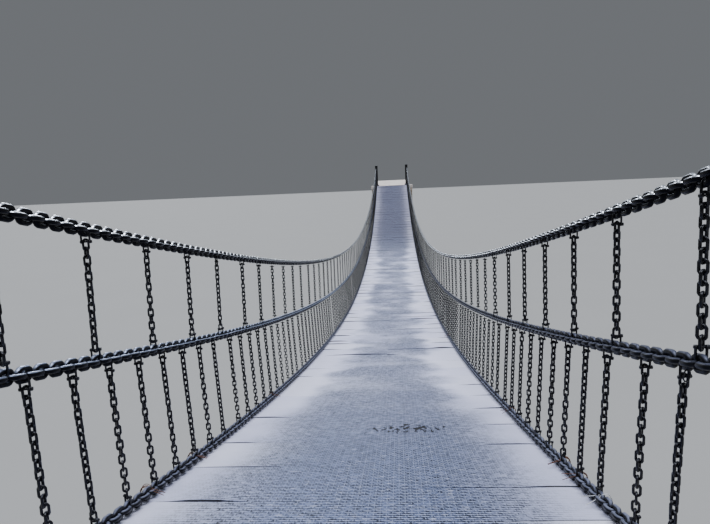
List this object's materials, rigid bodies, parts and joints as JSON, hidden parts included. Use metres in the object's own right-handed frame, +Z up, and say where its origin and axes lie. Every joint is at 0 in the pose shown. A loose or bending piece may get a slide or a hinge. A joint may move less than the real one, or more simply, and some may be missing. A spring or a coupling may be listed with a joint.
{
  "type": "chain suspension footbridge",
  "caption": "Narrow suspension footbridge with a sagging steel plate deck on cross bearers and load chains, chain handrails with hanger chains, and masonry abutments.",
  "frame": {"origin": "ground level under mid-span, at the middle of the bridge's base", "axes": "+Y along the bridge towards the far end, +X to the right hand of someone who walks that way, +Z up"},
  "size_m": [2.5, 39.4002, 5.1053],
  "materials": {
    "deck_plate": "worn galvanised chequer plate, dusty at the edges",
    "bearer": "rusty dark paint",
    "chain": "gloss black paint, worn on the link tops",
    "post": "black paint",
    "masonry": "rough coursed rubble stone",
    "concrete": "pale trowelled concrete"
  },
  "bodies": {
    "root": {"near_abutment": "masonry", "far_abutment": "masonry", "near_landing": "concrete", "far_landing": "concrete", "near_anchor_beam": "bearer", "far_anchor_beam": "bearer", "near_left_post": "post", "near_right_post": "post", "far_left_post": "post", "far_right_post": "post", "deck_section_01": "deck_plate", "deck_section_02": "deck_plate", "deck_section_03": "deck_plate", "deck_section_04": "deck_plate", "deck_section_05": "deck_plate", "deck_section_06": "deck_plate", "deck_section_07": "deck_plate", "deck_section_08": "deck_plate", "deck_section_09": "deck_plate", "deck_section_10": "deck_plate", "deck_section_11": "deck_plate", "deck_section_12": "deck_plate", "load_chain_1": "chain", "load_chain_2": "chain", "load_chain_3": "chain", "load_chain_4": "chain", "load_chain_5": "chain", "left_edge_chain": "chain", "right_edge_chain": "chain", "left_mid_chain_and_hangers": "chain", "right_mid_chain_and_hangers": "chain", "left_top_chain_and_hangers": "chain", "right_top_chain_and_hangers": "chain"}
  },
  "joints": []
}
